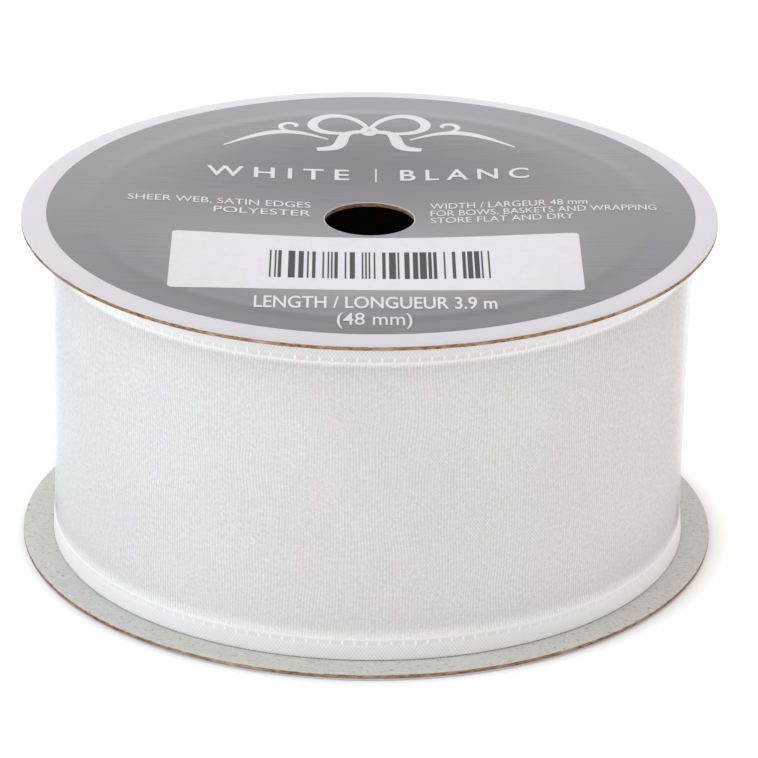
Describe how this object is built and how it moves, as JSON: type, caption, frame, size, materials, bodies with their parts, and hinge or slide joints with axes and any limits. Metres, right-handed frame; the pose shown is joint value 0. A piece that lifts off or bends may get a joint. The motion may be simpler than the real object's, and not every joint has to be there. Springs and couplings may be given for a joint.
{
  "type": "ribbon spool",
  "caption": "Gift ribbon spool: board flanges with a printed label on a paper core, wound with sheer ribbon that has satin edges and a free end held by tape.",
  "frame": {"origin": "centre of the lower flange's underside, where the spool stands", "axes": "+Z along the spool's axis, from the bare flange to the labelled one; +X to the right when the label reads upright; -Y towards the label's bottom line"},
  "size_m": [0.1026, 0.1026, 0.0507],
  "materials": {
    "greyboard": "uncoated recycled board, light fibres",
    "printed_label": "white paper printed with a brushed grey disc, satin",
    "white_liner": "plain white paper, matte",
    "core_board": "spirally wound brown paper",
    "dried_glue": "dried adhesive, slightly glossy",
    "sheer_organza": "sheer plain weave, soft sheen",
    "satin_edge": "dense satin weave, silky",
    "clear_tape": "clear film"
  },
  "bodies": {
    "spool": {"lower_liner_sheet": "white_liner", "lower_flange_board": "greyboard", "upper_flange_board": "greyboard", "upper_label_sheet": "printed_label", "core_tube": "core_board", "lower_glue_bead": "dried_glue", "upper_glue_bead": "dried_glue"},
    "ribbon_roll": {"roll_lower_satin_edge": "satin_edge", "roll_sheer_web": "sheer_organza", "roll_upper_satin_edge": "satin_edge"},
    "ribbon_tail": {"tail_lower_satin_edge": "satin_edge", "tail_sheer_web": "sheer_organza", "tail_upper_satin_edge": "satin_edge", "end_tape": "clear_tape"}
  },
  "joints": [
    {"name": "ribbon_roll_turn", "type": "hinge", "parent": "spool", "child": "ribbon_roll", "pos_m": [0, 0, 0.025], "axis": [0, 0, 1], "continuous": true},
    {"name": "tail_lift", "type": "hinge", "parent": "ribbon_roll", "child": "ribbon_tail", "pos_m": [0.01611, 0.04426, 0.025], "axis": [0, 0, -1], "range_deg": [0, 60]}
  ]
}
